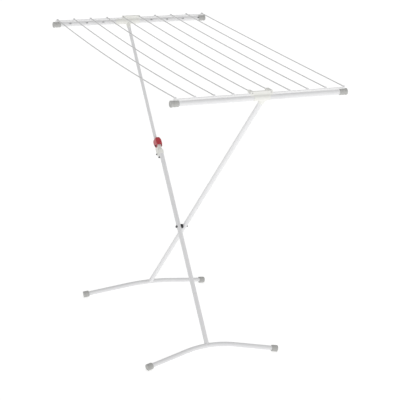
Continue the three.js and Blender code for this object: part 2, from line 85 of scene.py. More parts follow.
X = Vector((1, 0, 0))
Y = Vector((0, 1, 0))
Z = Vector((0, 0, 1))
FIXED_LEG = placed(PIVOT, X, Vector((0, LEAN_COS, LEAN_SIN)), Vector((0, -LEAN_SIN, LEAN_COS)))
SLIDING_LEG = placed(PIVOT, X, Vector((0, LEAN_COS, -LEAN_SIN)), UP_SLIDING)


def rail_middle(name):
    return (box_middle(f"{name}_cap_left") + box_middle(f"{name}_cap_right")) / 2


FRONT_RAIL = placed(rail_middle("front_rail"), X, Y, Z)
BACK_RAIL = placed(rail_middle("back_rail"), X, Y, Z)

# ------------------------------------------------------------------ sizes, in millimetres

FIXED_X = box_middle("fixed_leg").x / MM
SLIDING_X = box_middle("outer_tube").x / MM
LEG_RADIUS = 8
INNER_RADIUS = 6
INNER_OFFSET = 21.4  # from the outer tube's axis to the inner tube's
INNER_TUBE_LOW = 277  # heights on a leg are counted from the pivot
OUTER_TUBE_TOP = 290
BORE_GAP = 0.05  # between a tube and a moulding shaped to it
FOOT_REACH = 484
RAIL_REACH = 827.8
FOOT_RADIUS = 8
FOOT_HALF_SPAN = 235
FOOT_SLOPE = 0.233
FOOT_BEND_HALF = 92
RAIL_RADIUS = 8.5
RAIL_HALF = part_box("front_rail_cap_right")[1].x / MM
RAIL_END_SETBACK = 2.3  # the bar ends this far inside its cap's end
FIN_TOP = 15.6
FIN_HALF = 1.0
FIN_FILLET = 1.0
FIN_HALF_LENGTH = 293
BEAD_RADIUS = 1.4
EYE_FOOT = 9
EYE_TOP = 20.6
EYE_HALF = 4
EYE_HALF_THICKNESS = 1.15
SLOT_SHIFT = -17  # from a line to the middle of its slot
SLOT_HALF = 4
SLOT_LOW = 1.5
SLOT_HIGH = 5.5
LINE_COUNT = 10
LINE_RADIUS = 1.9
LINE_HEIGHT = 17.7  # above the rail's axis
LEG_SETBACK = 13
LEG_TOP = RAIL_REACH - LEG_SETBACK

# ------------------------------------------------------------------ mesh tools


def new_object(name, verts, faces, place=None):
    mesh = bpy.data.meshes.new(name)
    if place is not None:
        verts = [place @ Vector(v) for v in verts]
    mesh.from_pydata(verts, [], faces)
    obj = bpy.data.objects.new(name, mesh)
    bpy.context.scene.collection.objects.link(obj)
    return obj


def settle(obj):
    """Makes the result of an object's modifiers its own mesh."""
    bpy.context.view_layer.update()
    graph = bpy.context.evaluated_depsgraph_get()
    mesh = bpy.data.meshes.new_from_object(obj.evaluated_get(graph))
    obj.modifiers.clear()
    obj.data = mesh
    return obj


def cut(obj, shapes, place):
    """Takes closed shapes, given as (verts, faces), out of an object."""
    verts, faces = joined(shapes)
    cutter = new_object("cutter", verts, faces, place)
    modifier = obj.modifiers.new("cut", "BOOLEAN")
    modifier.operation = "DIFFERENCE"
    modifier.solver = "EXACT"
    modifier.use_self = True
    modifier.object = cutter
    settle(obj)
    bpy.data.objects.remove(cutter)
    return obj


def joined(shapes):
    verts, faces = [], []
    for shape_verts, shape_faces in shapes:
        start = len(verts)
        verts.extend(shape_verts)
        faces.extend(tuple(i + start for i in face) for face in shape_faces)
    return verts, faces


def fused(name, shapes, place, voxel, rounds):
    """One moulded body: overlapping shapes melted together with soft edges."""
    verts, faces = joined(shapes)
    obj = new_object(name, verts, faces, place)
    remesh = obj.modifiers.new("melt", "REMESH")
    remesh.mode = "VOXEL"
    remesh.voxel_size = voxel * MM
    smooth = obj.modifiers.new("soften", "SMOOTH")
    smooth.factor = 0.5
    smooth.iterations = rounds
    return settle(obj)


def filleted(points, radius, steps=4, closed=True):
    """A 2D outline with each corner rounded."""
    result = []
    count = len(points)
    for i, corner in enumerate(points):
        if not closed and i in (0, count - 1):
            result.append(corner)
            continue
        here = np.array(corner, float)
        before = np.array(points[i - 1], float) - here
        after = np.array(points[(i + 1) % count], float) - here
        size = min(radius, np.linalg.norm(before) * 0.45, np.linalg.norm(after) * 0.45)
        start = here + before / np.linalg.norm(before) * size
        end = here + after / np.linalg.norm(after) * size
        for t in np.linspace(0, 1, steps + 1):
            spot = start * (1 - t) ** 2 + here * 2 * t * (1 - t) + end * t * t
            result.append(tuple(spot))
    return result


def lathe(profile, origin=(0, 0, 0), axis=(0, 0, 1), segments=48):
    """A solid turned about a line, from (radius, distance along it) points."""
    turn = Vector((0, 0, 1)).rotation_difference(Vector(axis).normalized())
    origin = Vector(origin)
    verts, rings = [], []
    for radius, along in profile:
        if radius < 1e-6:
            rings.append([len(verts)] * segments)
            verts.append(origin + turn @ Vector((0, 0, along)))
            continue
        rings.append(list(range(len(verts), len(verts) + segments)))
        for i in range(segments):
            angle = 2 * math.pi * i / segments
            spot = Vector((radius * math.cos(angle), radius * math.sin(angle), along))
            verts.append(origin + turn @ spot)
    faces = []
    on_axis = profile[0][0] < 1e-6 and profile[-1][0] < 1e-6
    pairs = list(zip(rings, rings[1:]))
    if not on_axis:
        pairs.append((rings[-1], rings[0]))
    for low, high in pairs:
        for i in range(segments):
            k = (i + 1) % segments
            corners = (low[i], low[k], high[k], high[i])
            unique = tuple(dict.fromkeys(corners))
            if len(unique) > 2:
                faces.append(unique)
    return verts, faces


def bar(radius, start, end, segments=48, edge=0.0):
    """A round bar between two points, with an optional rounded rim."""
    start, end = Vector(start), Vector(end)
    length = (end - start).length
    outline = [(0, 0), (radius, 0), (radius, length), (0, length)]
    if edge:
        outline = filleted(outline, edge, closed=False)
    return lathe(outline, start, end - start, segments)


def prism(outline, to_point, low, high):
    """A 2D outline pushed from low to high; to_point(u, v, w) gives the 3D point."""
    count = len(outline)
    verts = [to_point(u, v, low) for u, v in outline]
    verts += [to_point(u, v, high) for u, v in outline]
    faces = [tuple(range(count))[::-1], tuple(range(count, 2 * count))]
    for i in range(count):
        k = (i + 1) % count
        faces.append((i, k, count + k, count + i))
    return verts, faces


def across_x(u, v, w):
    return (w, u, v)


def block(low, high):
    (x0, y0, z0), (x1, y1, z1) = low, high
    return prism([(y0, z0), (y1, z0), (y1, z1), (y0, z1)], across_x, x0, x1)


def sweep(points, radius, segments=16, side=(0, 1, 0)):
    """A closed round tube along points, with flat ends."""
    points = [Vector(p) for p in points]
    side = Vector(side)
    verts, faces = [], []
    for i, here in enumerate(points):
        before = points[max(i - 1, 0)]
        after = points[min(i + 1, len(points) - 1)]
        tangent = (after - before).normalized()
        normal = side.cross(tangent).normalized()
        across = tangent.cross(normal)
        for k in range(segments):
            angle = 2 * math.pi * k / segments
            verts.append(here + normal * radius * math.cos(angle) + across * radius * math.sin(angle))
    last = (len(points) - 1) * segments
    for i in range(len(points) - 1):
        for k in range(segments):
            n = (k + 1) % segments
            a, b = i * segments, (i + 1) * segments
            faces.append((a + k, a + n, b + n, b + k))
    faces.append(tuple(range(segments))[::-1])
    faces.append(tuple(range(last, last + segments)))
    return verts, faces


def finish_piece(obj, body, slot, nodes, sharp=35):
    """Shades a piece, gives it its slot's material and ties it to the frame."""
    mesh = obj.data
    mesh.materials.clear()
    mesh.materials.append(LOOKS[slot])
    recalculate_normals(mesh)
    mesh.shade_smooth()
    mesh.set_sharp_from_angle(angle=math.radians(sharp))
    if body:
        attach(obj, body)
    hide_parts(*nodes)
    return obj


def recalculate_normals(mesh):
    work = bmesh.new()
    work.from_mesh(mesh)
    bmesh.ops.remove_doubles(work, verts=work.verts, dist=1e-7)
    bmesh.ops.recalc_face_normals(work, faces=work.faces)
    work.to_mesh(mesh)
    work.free()


# ------------------------------------------------------------------ materials


class Nodes:
    """A material's node tree with its Principled shader."""

    def __init__(self, name):
        self.material = bpy.data.materials.new(name)
        self.material.use_nodes = True
        self.tree = self.material.node_tree
        self.shader = self.tree.nodes["Principled BSDF"]
        self.place = self.tree.nodes.new("ShaderNodeTexCoord").outputs["Object"]

    def noise(self, scale, detail=3.0, roughness=0.5):
        node = self.tree.nodes.new("ShaderNodeTexNoise")
        node.inputs["Scale"].default_value = scale
        node.inputs["Detail"].default_value = detail
        node.inputs["Roughness"].default_value = roughness
        self.tree.links.new(self.place, node.inputs["Vector"])
        return node.outputs["Fac"]

    def ramp(self, value, low, high, out_low, out_high):
        node = self.tree.nodes.new("ShaderNodeMapRange")
        node.inputs["From Min"].default_value = low
        node.inputs["From Max"].default_value = high
        node.inputs["To Min"].default_value = out_low
        node.inputs["To Max"].default_value = out_high
        self.tree.links.new(value, node.inputs["Value"])
        return node.outputs["Result"]

    def mix(self, factor, first, second):
        node = self.tree.nodes.new("ShaderNodeMix")
        node.data_type = "RGBA"
        node.inputs["A"].default_value = (*first, 1)
        node.inputs["B"].default_value = (*second, 1)
        self.tree.links.new(factor, node.inputs["Factor"])
        return node.outputs["Result"]

    def bump(self, height, strength, distance):
        node = self.tree.nodes.new("ShaderNodeBump")
        node.inputs["Strength"].default_value = strength
        node.inputs["Distance"].default_value = distance
        self.tree.links.new(height, node.inputs["Height"])
        self.link(node.outputs["Normal"], "Normal")

    def link(self, output, socket):
        self.tree.links.new(output, self.shader.inputs[socket])

    def set(self, socket, value):
        self.shader.inputs[socket].default_value = value


def surface(name, light, dark, rough, grain, depth, coat=0.0, metal=0.0):
    """A coating or plastic: slow colour drift, patchy gloss and a fine skin.

    light and dark are its two colours, rough its lowest and highest roughness,
    grain the skin's scale per metre and depth the skin's height in millimetres.
    """
    look = Nodes(name)
    drift = look.noise(9.0, 4.0, 0.6)
    look.link(look.mix(look.ramp(drift, 0.35, 0.65, 0.0, 1.0), light, dark), "Base Color")
    patch = look.noise(60.0, 5.0, 0.6)
    look.link(look.ramp(patch, 0.3, 0.7, rough[0], rough[1]), "Roughness")
    look.bump(look.noise(grain, 2.0, 0.5), 0.35, depth * MM)
    look.set("Metallic", metal)
    look.set("Coat Weight", coat)
    look.set("Coat Roughness", 0.12)
    return look.material


def grey(level):
    return (level, level, level)


PAINT_GLOSS = (0.26, 0.36)
STRIP_GLOSS = (0.3, 0.4)
WHITE_MATT = (0.38, 0.5)
GREY_MATT = (0.42, 0.55)
BLACK_MATT = (0.4, 0.52)
ZINC_GLOSS = (0.28, 0.42)
RED = (0.5, 0.03, 0.045)
DEEP_RED = (0.44, 0.025, 0.038)
BLACK = (0.02, 0.02, 0.021)
DEEP_BLACK = (0.014, 0.014, 0.015)

LOOKS = {
    "white_paint": surface("white_paint", (0.82, 0.82, 0.825), (0.79, 0.79, 0.8), PAINT_GLOSS, 700, 0.05),
    # a lighter copy of the white paint, used as a painted highlight on the rails' fins
    "painted_fin_highlight": surface("painted_fin_highlight", grey(0.94), grey(0.92), STRIP_GLOSS, 700, 0.04),
    "white_plastic": surface("white_plastic", (0.87, 0.87, 0.83), (0.84, 0.84, 0.8), WHITE_MATT, 1500, 0.03),
    "grey_plastic": surface("grey_plastic", (0.49, 0.49, 0.475), (0.45, 0.45, 0.435), GREY_MATT, 1600, 0.05),
    "red_plastic": surface("red_plastic", RED, DEEP_RED, STRIP_GLOSS, 1400, 0.02, coat=0.2),
    "black_plastic": surface("black_plastic", BLACK, DEEP_BLACK, BLACK_MATT, 1600, 0.04),
    "steel": surface("zinc_steel", (0.45, 0.45, 0.46), (0.36, 0.36, 0.37), ZINC_GLOSS, 900, 0.02, metal=1.0),
    "line_coating": surface("line_coat", grey(0.74), grey(0.7), GREY_MATT, 1200, 0.05),
}

# ------------------------------------------------------------------ camera

AZIMUTH = math.radians(24.79)
ELEVATION = math.radians(19.81)
ROLL = math.radians(3.10)
DISTANCE = 5.138
LENS = 130.96
TARGET = Vector((0.0654, PIVOT.y, 0.4674))


def make_camera():
    forward = Vector(
        (
            math.sin(AZIMUTH) * math.cos(ELEVATION),
            math.cos(AZIMUTH) * math.cos(ELEVATION),
            -math.sin(ELEVATION),
        )
    )
    right = Vector((math.cos(AZIMUTH), -math.sin(AZIMUTH), 0))
    up = right.cross(forward)
    tilted_right = math.cos(ROLL) * right + math.sin(ROLL) * up
    tilted_up = math.cos(ROLL) * up - math.sin(ROLL) * right
    data = bpy.data.cameras.new("camera")
    data.sensor_width = 36
    data.lens = LENS
    data.clip_end = 100
    camera = bpy.data.objects.new("camera", data)
    axes = Matrix((tilted_right, tilted_up, -forward)).transposed().to_4x4()
    camera.matrix_world = Matrix.Translation(TARGET - forward * DISTANCE) @ axes
    bpy.context.scene.collection.objects.link(camera)
    bpy.context.scene.camera = camera


make_camera()

# ------------------------------------------------------------------ lines

SPLIT = 0.8  # share of a line's length that goes into its front piece
LINE_STEPS = 60
END_DEPTH = 0.004  # metres of a line's node read as its end
MIDDLE_DEPTH = 0.04


def line_points(index):
    """A line's own curve: the parabola between the middles of its node's two ends."""
    node = frame["nodes"][f"drying_line_{index}"]
    spots = np.array([v.co for v in node.data.vertices], float)
    front, back = spots[:, 1].min(), spots[:, 1].max()
    x = (spots[:, 0].min() + spots[:, 0].max()) / 2
    ends = [spots[np.abs(spots[:, 1] - y) < END_DEPTH][:, 2].mean() for y in (front, back)]
    middle = spots[np.abs(spots[:, 1] - (front + back) / 2) < MIDDLE_DEPTH][:, 2].mean()
    sag = (ends[0] + ends[1]) / 2 - middle
    points = []
    for t in np.linspace(0, 1, LINE_STEPS + 1):
        height = ends[0] * (1 - t) + ends[1] * t - 4 * sag * t * (1 - t)
        points.append(Vector((x, front * (1 - t) + back * t, height)))
    return points


def make_line(index):
    points = line_points(index)
    meet = round(SPLIT * LINE_STEPS)
    stretches = (
        ("front", points[: meet + 1], "frame_a", "frame_b"),
        ("back", points[meet:], "frame_b", "sliding_frame"),
    )
    for word, route, near, far in stretches:
        verts, faces = sweep(route, LINE_RADIUS * MM, 12, side=(1, 0, 0))
        piece = new_object(f"line_{index}_{word}", verts, faces)
        finish_piece(piece, None, "line_coating", [f"drying_line_{index}"], sharp=50)
        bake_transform(piece)


for number in range(1, LINE_COUNT + 1):
    make_line(number)

# ------------------------------------------------------------------ feet


def foot_points(reach):
    """The bent tube's centre line, in its leg's plane."""
    slope_top = FOOT_SLOPE * (FOOT_HALF_SPAN - FOOT_BEND_HALF)
    curve = FOOT_SLOPE / (2 * FOOT_BEND_HALF)
    points = []
    for x in np.linspace(-reach, reach, 81):
        if abs(x) < FOOT_BEND_HALF:
            rise = slope_top + curve * (FOOT_BEND_HALF**2 - x * x)
        else:
            rise = FOOT_SLOPE * (FOOT_HALF_SPAN - abs(x))
        points.append((x, 0, rise - FOOT_REACH))
    return points


FOOT_ARCH = max(z for _, _, z in foot_points(FOOT_HALF_SPAN))
FOOT_IN_CAP = 8
CAP_HALF = 10.5
CAP_RADIUS = 11.6
CAP_GROOVE = 0.5


def floor_cutter(place):
    """A slab under the floor, in a leg's own millimetres."""
    inverse = place.inverted()
    verts, faces = block((-0.4, -0.5, -0.03), (0.4, 0.5, 0.0))
    return [inverse @ Vector(v) for v in verts], faces


def make_foot(name, place, body):
    tube = sweep(foot_points(FOOT_HALF_SPAN + FOOT_IN_CAP), FOOT_RADIUS, 40)
    finish_piece(new_object(f"{name}_tube", *tube, place), body, "white_paint", [name])
    for word, side in (("left", -1), ("right", 1)):
        axis = Vector((side, 0, -FOOT_SLOPE)).normalized()
        middle = Vector((side * FOOT_HALF_SPAN, 0, -FOOT_REACH))
        outline = [
            (0, -CAP_HALF + 1),
            (FOOT_RADIUS + 0.1, -CAP_HALF + 1),
            (FOOT_RADIUS + 0.1, -CAP_HALF),
            (CAP_RADIUS - 0.9, -CAP_HALF),
            (CAP_RADIUS - 0.3, -CAP_HALF + 1.5),
            (CAP_RADIUS, CAP_HALF - 6.4),
            (CAP_RADIUS - CAP_GROOVE, CAP_HALF - 6),
            (CAP_RADIUS - CAP_GROOVE, CAP_HALF - 5),
            (CAP_RADIUS, CAP_HALF - 4.6),
            (CAP_RADIUS, CAP_HALF),
            (0, CAP_HALF),
        ]
        shape = lathe(filleted(outline, 1.4, closed=False), middle, axis, 64)
        cap = new_object(f"{name}_shoe_{word}", *shape, place)
        cut(cap, [floor_cutter(place)], place)
        finish_piece(cap, body, "grey_plastic", [f"{name}_cap_{word}"])


make_foot("rear_foot", FIXED_LEG, "frame_a")
make_foot("front_foot", SLIDING_LEG, "frame_b")

# ------------------------------------------------------------------ legs


def saddled_tube(x, top, radius=LEG_RADIUS):
    """A leg tube whose lower end is shaped over the foot; weld_ring makes the weld round it."""
    segments = 64
    verts, faces = [], []
    for ring in range(2):
        for k in range(segments):
            angle = 2 * math.pi * k / segments
            dx, dy = radius * math.cos(angle), radius * math.sin(angle)
            seat = FOOT_ARCH + math.sqrt(max(FOOT_RADIUS**2 - dy * dy, 0)) * 0.97
            verts.append((x + dx, dy, seat if ring == 0 else top))
    for k in range(segments):
        n = (k + 1) % segments
        faces.append((k, n, segments + n, segments + k))
    faces.append(tuple(range(segments, 2 * segments)))
    faces.append(tuple(range(segments))[::-1])
    return verts, faces


def weld_ring(x, radius=LEG_RADIUS, bead=1.3):
    """The weld: a thin ring that follows the tube's saddle."""
    verts, faces = [], []
    rounds, sides = 72, 10
    for i in range(rounds):
        angle = 2 * math.pi * i / rounds
        dx, dy = math.cos(angle), math.sin(angle)
        height = FOOT_ARCH + math.sqrt(max(FOOT_RADIUS**2 - (radius * dy) ** 2, 0)) * 0.96
        ripple = 1 + 0.12 * math.sin(14 * angle)
        for k in range(sides):
            turn = 2 * math.pi * k / sides
            out = radius + bead * ripple * math.cos(turn)
            verts.append((x + out * dx, out * dy, height + bead * ripple * math.sin(turn)))
    for i in range(rounds):
        for k in range(sides):
            a, b = i * sides, ((i + 1) % rounds) * sides
            n = (k + 1) % sides
            faces.append((a + k, b + k, b + n, a + n))
    return verts, faces


def make_leg(name, node, place, body, x, top):
    shape = joined([saddled_tube(x, top), weld_ring(x)])
    finish_piece(new_object(name, *shape, place), body, "white_paint", [node])


def make_inner_tube():
    low = (SLIDING_X, INNER_OFFSET, INNER_TUBE_LOW)
    high = (SLIDING_X, INNER_OFFSET, LEG_TOP)
    tube = bar(INNER_RADIUS, low, high, 48, edge=0.4)
    piece = new_object("inner_leg_tube", *tube, SLIDING_LEG)
    finish_piece(piece, "sliding_frame", "white_paint", ["inner_tube"])
    head = INNER_RADIUS - 0.1
    stem = 4.6
    outline = [(0, -2.3), (head, -2.3), (head, -0.1), (stem, -0.1), (stem, 11), (0, 11)]
    plug = new_object("inner_leg_plug", *lathe(filleted(outline, 0.7, closed=False), low), SLIDING_LEG)
    finish_piece(plug, "sliding_frame", "black_plastic", ["inner_tube_plug"])


make_leg("fixed_leg_tube", "fixed_leg", FIXED_LEG, "frame_a", FIXED_X, LEG_TOP)
make_leg("outer_leg_tube", "outer_tube", SLIDING_LEG, "frame_b", SLIDING_X, OUTER_TUBE_TOP)
make_inner_tube()

# ------------------------------------------------------------------ pivot

SADDLE_RADIUS = 4.8
SADDLE_WALL = 2.4
SADDLE_DEPTH = 3  # from the leg's axis to the saddle's hidden end
SPACER_RADIUS = 7.8
SPACER_GAP = 0.1
BOLT_RADIUS = 3
DISC_EDGE = 0.8


def make_saddle(name, node, place, body, x, side):
    """A disc that wraps one side of a leg."""
    outer = x + side * (LEG_RADIUS + SADDLE_WALL)
    disc = bar(SADDLE_RADIUS, (outer, 0, 0), (x + side * SADDLE_DEPTH, 0, 0), 48, edge=DISC_EDGE)
    obj = new_object(name, *disc, place)
    cut(obj, [bar(LEG_RADIUS + BORE_GAP, (x, 0, -30), (x, 0, 30), 64)], place)
    finish_piece(obj, body, "black_plastic", [node])


def make_spacer():
    low = (SLIDING_X + LEG_RADIUS + SPACER_GAP, 0, 0)
    high = (FIXED_X - LEG_RADIUS - SPACER_GAP, 0, 0)
    spacer = new_object("pivot_spacer_piece", *bar(SPACER_RADIUS, low, high, 48, edge=DISC_EDGE), FIXED_LEG)
    finish_piece(spacer, "frame_a", "black_plastic", ["pivot_spacer"])


def make_bolt():
    """A domed head on the saddle and a shank through both legs."""
    seat = (SLIDING_X - LEG_RADIUS - SADDLE_WALL - SPACER_GAP, 0, 0)
    outline = [(0, 0), (3.8, 0), (3.9, 1.2), (2.8, 2.3), (0, 2.4)]
    head = lathe(filleted(outline, 0.5, closed=False), seat, -X)
    shank = bar(BOLT_RADIUS, seat, (FIXED_X + LEG_RADIUS + 1, 0, 0), 24)
    bolt = new_object("pivot_bolt_piece", *joined([head, shank]), FIXED_LEG)
    finish_piece(bolt, "frame_a", "steel", ["pivot_bolt"])


make_saddle("pivot_saddle_piece", "pivot_saddle", SLIDING_LEG, "frame_b", SLIDING_X, -1)
make_saddle("pivot_nut_piece", "pivot_nut_cap", FIXED_LEG, "frame_a", FIXED_X, 1)
make_spacer()
make_bolt()

# ------------------------------------------------------------------ clamp

PIN_Y = 9.6
PIN_Z = 316
PIN_RADIUS = 3.5
PIN_HALF_LENGTH = 13.4
CUP_RADIUS = 9.7  # round the outer tube's top
CUP_LOW = 281
CUP_TOP = 296
SLEEVE_RADIUS = 9.2  # round the inner tube
SLEEVE_LOW = 283
SLEEVE_TOP = 312
NECK_RADIUS = 7.8
NECK_TOP = 326
NECK_HALF_WIDTH = 8
WEB_HALF_WIDTH = 5
SCREW_Z = 288
SCREW_FACE = -9.4
SCREW_HOLE_RADIUS = 1.7
DOME_STEPS = ((10.4, 338), (9.8, 341.5), (8.4, 344.5), (6, 347))  # half width and top of each layer
CHEEK_HALF = 4.8
CHEEK_LOW = 310.5
HOOD_FRONT = -4.5
HOOD_BACK = 26
HOOD_FRONT_LIP = 317
HOOD_BACK_LIP = 326
HOOD_HALF_INSIDE = 8.4
HOOD_FRONT_INSIDE = -2.4
PAD_FRONT = 9.2
PAD_BACK = 15.1
PAD_LOW = 326.4
PAD_TOP = 337.2
PAD_HALF_WIDTH = 5
MOULDING_VOXEL = 0.45


def at_clamp(shape):
    verts, faces = shape
    return [Vector(v) + Vector((SLIDING_X, 0, 0)) for v in verts], faces


def upright(radius, y, low, high):
    return at_clamp(bar(radius, (0, y, low), (0, y, high), 48))


def through(radius, half_length, segments, edge=0.0):
    """A bar across the clamp on the lever's pin."""
    return at_clamp(bar(radius, (-half_length, PIN_Y, PIN_Z), (half_length, PIN_Y, PIN_Z), segments, edge))


def make_collar():
    """A cup on the outer tube, a sleeve round the inner one and the neck that holds the pin."""
    web = block((-WEB_HALF_WIDTH, 5, CUP_LOW + 0.5), (WEB_HALF_WIDTH, INNER_OFFSET, CUP_TOP - 0.5))
    neck = block((-NECK_HALF_WIDTH, 4, CUP_TOP - 2), (NECK_HALF_WIDTH, 18, NECK_TOP))
    shapes = [
        upright(CUP_RADIUS, 0, CUP_LOW, CUP_TOP),
        upright(SLEEVE_RADIUS, INNER_OFFSET, SLEEVE_LOW, SLEEVE_TOP),
        upright(NECK_RADIUS, INNER_OFFSET, SLEEVE_LOW, NECK_TOP),
        at_clamp(web),
        at_clamp(neck),
    ]
    collar = fused("collar", shapes, SLIDING_LEG, MOULDING_VOXEL, 6)
    below = CUP_LOW - 11
    holes = [
        upright(INNER_RADIUS + 0.12, INNER_OFFSET, below, NECK_TOP + 14),
        upright(LEG_RADIUS + BORE_GAP, 0, below, OUTER_TUBE_TOP + 0.2),
        at_clamp(bar(SCREW_HOLE_RADIUS, (-12, INNER_OFFSET, SCREW_Z), (-6.2, INNER_OFFSET, SCREW_Z), 24)),
    ]
    cut(collar, holes, SLIDING_LEG)
    finish_piece(collar, "frame_b", "white_plastic", ["clamp_collar"])


def make_lever():
    """The hood: cheeks on the pin, a front wall and a domed roof, open behind."""
    shapes = []
    for half, top in DOME_STEPS:
        outline = [
            (PIN_Y - CHEEK_HALF, CHEEK_LOW),
            (PIN_Y + CHEEK_HALF, CHEEK_LOW),
            (HOOD_BACK, HOOD_BACK_LIP),
            (HOOD_BACK, top),
            (0, top),
            (HOOD_FRONT, top - 7),
            (HOOD_FRONT, HOOD_FRONT_LIP),
        ]
        shapes.append(at_clamp(prism(filleted(outline, 3.0), across_x, -half, half)))
    lever = fused("lever_hood", shapes, SLIDING_LEG, MOULDING_VOXEL, 9)
    roof = 341
    hollow = [(HOOD_FRONT_INSIDE, 305), (27, 305), (27, roof), (1, roof), (HOOD_FRONT_INSIDE, roof - 5)]
    half = HOOD_HALF_INSIDE
    holes = [
        at_clamp(prism(filleted(hollow, 2.0), across_x, -half, half)),
        at_clamp(block((-half, -12, 300), (half, 0, HOOD_FRONT_LIP + 0.3))),
        at_clamp(block((-7, PIN_Y + CHEEK_HALF, HOOD_BACK_LIP), (7, HOOD_BACK + 3, 352))),
        through(PIN_RADIUS + 0.3, 20, 32),
    ]
    cut(lever, holes, SLIDING_LEG)
    finish_piece(lever, "lever", "red_plastic", ["clamp_lever"])


def make_black_piece(name, shape, node):
    finish_piece(new_object(name, *shape, SLIDING_LEG), "frame_b", "black_plastic", [node])


def pad_shape():
    outline = [(PAD_FRONT, PAD_LOW), (PAD_BACK, PAD_LOW), (PAD_BACK, PAD_TOP), (PAD_FRONT, PAD_TOP)]
    return at_clamp(prism(filleted(outline, 0.8), across_x, -PAD_HALF_WIDTH, PAD_HALF_WIDTH))


def screw_shape():
    """A pan head with a dished middle on a short shank."""
    outline = [(0, 0.6), (1.4, 0.6), (1.4, 1.9), (2.5, 1.9), (3, 0.9), (3, 0), (1.5, 0), (1.5, -3), (0, -3)]
    return at_clamp(lathe(filleted(outline, 0.35, closed=False), (SCREW_FACE, INNER_OFFSET, SCREW_Z), -X, 32))


make_collar()
make_lever()
make_black_piece("lever_pin_piece", through(PIN_RADIUS, PIN_HALF_LENGTH, 40, edge=0.7), "lever_pin")
make_black_piece("clamp_pad_piece", pad_shape(), "clamp_pad")
make_black_piece("collar_screw_piece", screw_shape(), "collar_screw")

# ------------------------------------------------------------------ rails


def rail_outline():
    """The rail's section: a round body, a fin with a filleted root and a bead."""
    root = math.asin((FIN_HALF + FIN_FILLET) / RAIL_RADIUS)
    points = []
    for t in np.linspace(root, 2 * math.pi - root, 61):
        points.append((RAIL_RADIUS * math.sin(t), RAIL_RADIUS * math.cos(t)))
    points.append((-FIN_HALF, RAIL_RADIUS + FIN_FILLET))
    bead_z = FIN_TOP - BEAD_RADIUS
    neck = math.asin(FIN_HALF / BEAD_RADIUS)
    for t in np.linspace(-math.pi + neck, math.pi - neck, 17):
        points.append((BEAD_RADIUS * math.sin(t), bead_z + BEAD_RADIUS * math.cos(t)))
    points.append((FIN_HALF, RAIL_RADIUS + FIN_FILLET))
    return points


def line_places():
    return [box_middle(f"drying_line_{i}").x / MM for i in range(1, LINE_COUNT + 1)]


def rail_eye(x):
    """The tab that stands up from the fin round a line."""
    left, right = x - EYE_HALF, x + EYE_HALF
    outline = filleted([(left, EYE_FOOT), (right, EYE_FOOT), (right, EYE_TOP), (left, EYE_TOP)], 2.2)
    return prism(outline, lambda u, v, w: (u, w, v), -EYE_HALF_THICKNESS, EYE_HALF_THICKNESS)


def slot_cutter(x, inner):
    """The slot beside a line, through the tube's wall on the side of the other rail."""
    near, far = sorted((inner * 0.5, inner * 12))
    middle = x + SLOT_SHIFT
    return block((middle - SLOT_HALF, near, SLOT_LOW), (middle + SLOT_HALF, far, SLOT_HIGH))


def fin_end_cutter(side):
    """What takes the fin off the rail's end, where the cap sits."""
    near, far = sorted((side * FIN_HALF_LENGTH, side * (RAIL_HALF + 5)))
    return block((near, -5, RAIL_RADIUS + 0.4), (far, 5, FIN_TOP + 5))


def make_rail(name, place, body, inner):
    """inner is +1 or -1, the way to the other rail along Y."""
    length = RAIL_HALF - RAIL_END_SETBACK
    eyes = [rail_eye(x) for x in line_places()]
    shape = joined([prism(rail_outline(), across_x, -length, length), *eyes])
    rail = new_object(f"{name}_bar", *shape, place)
    bore = LINE_RADIUS + BORE_GAP
    holes = [bar(bore, (x, -6, LINE_HEIGHT), (x, 6, LINE_HEIGHT), 24) for x in line_places()]
    holes.extend(slot_cutter(x, inner) for x in line_places())
    holes.extend(fin_end_cutter(side) for side in (-1, 1))
    cut(rail, holes, place)
    finish_piece(rail, body, "white_paint", [name], sharp=28)
    paint_fin_highlight(rail, place)
    for word, side in (("left", -1), ("right", 1)):
        make_rail_cap(f"{name}_end_{word}", f"{name}_cap_{word}", place, body, side)


def paint_fin_highlight(rail, place):
    """Painted highlight: the fin's upright faces get a lighter copy of the white paint, so they look whiter
    than the round tube below them.
    """
    rail.data.materials.append(LOOKS["painted_fin_highlight"])
    floor_of_fin = place.translation.z + (RAIL_RADIUS + 0.6) * MM
    edge_of_fin = place.translation.z + (FIN_TOP - 2 * BEAD_RADIUS) * MM
    for face in rail.data.polygons:
        if floor_of_fin < face.center.z < edge_of_fin and abs(face.normal.y) > 0.7:
            # painted highlight: upright fin faces take the lighter copy of the paint
            face.material_index = 1


RAIL_CAP_RADIUS = 10.7
RAIL_CAP_LENGTH = 27
RAIL_CAP_INSET = 1.5  # from the lip to where the bore steps out


def make_rail_cap(name, node, place, body, side):
    """A moulded end cap: a tapered lip, a groove near the rim and a dished end."""
    big = RAIL_CAP_RADIUS
    outline = [
        (0, RAIL_CAP_INSET),
        (RAIL_RADIUS + 0.1, RAIL_CAP_INSET),
        (RAIL_RADIUS + 0.1, 0),
        (big - 1.1, 0),
        (big - 0.5, 2.5),
        (big - 0.3, RAIL_CAP_LENGTH - 11),
        (big - 1.3, RAIL_CAP_LENGTH - 10.6),
        (big - 1.3, RAIL_CAP_LENGTH - 6.4),
        (big, RAIL_CAP_LENGTH - 6),
        (big, RAIL_CAP_LENGTH),
        (big - 2.4, RAIL_CAP_LENGTH),
        (big - 2.8, RAIL_CAP_LENGTH - 0.7),
        (0, RAIL_CAP_LENGTH - 0.7),
    ]
    start = (side * (RAIL_HALF - RAIL_CAP_LENGTH), 0, 0)
    cap = new_object(name, *lathe(filleted(outline, 0.8, closed=False), start, (side, 0, 0), 72), place)
    ends = sorted((side * (RAIL_HALF - RAIL_CAP_LENGTH - 3), side * (FIN_HALF_LENGTH + 0.3)))
    cut(cap, [block((ends[0], -1.25, 6), (ends[1], 1.25, 20))], place)
    finish_piece(cap, body, "grey_plastic", [node])


make_rail("front_rail", FRONT_RAIL, "frame_a", 1)
make_rail("back_rail", BACK_RAIL, "sliding_frame", -1)

# ------------------------------------------------------------------ brackets

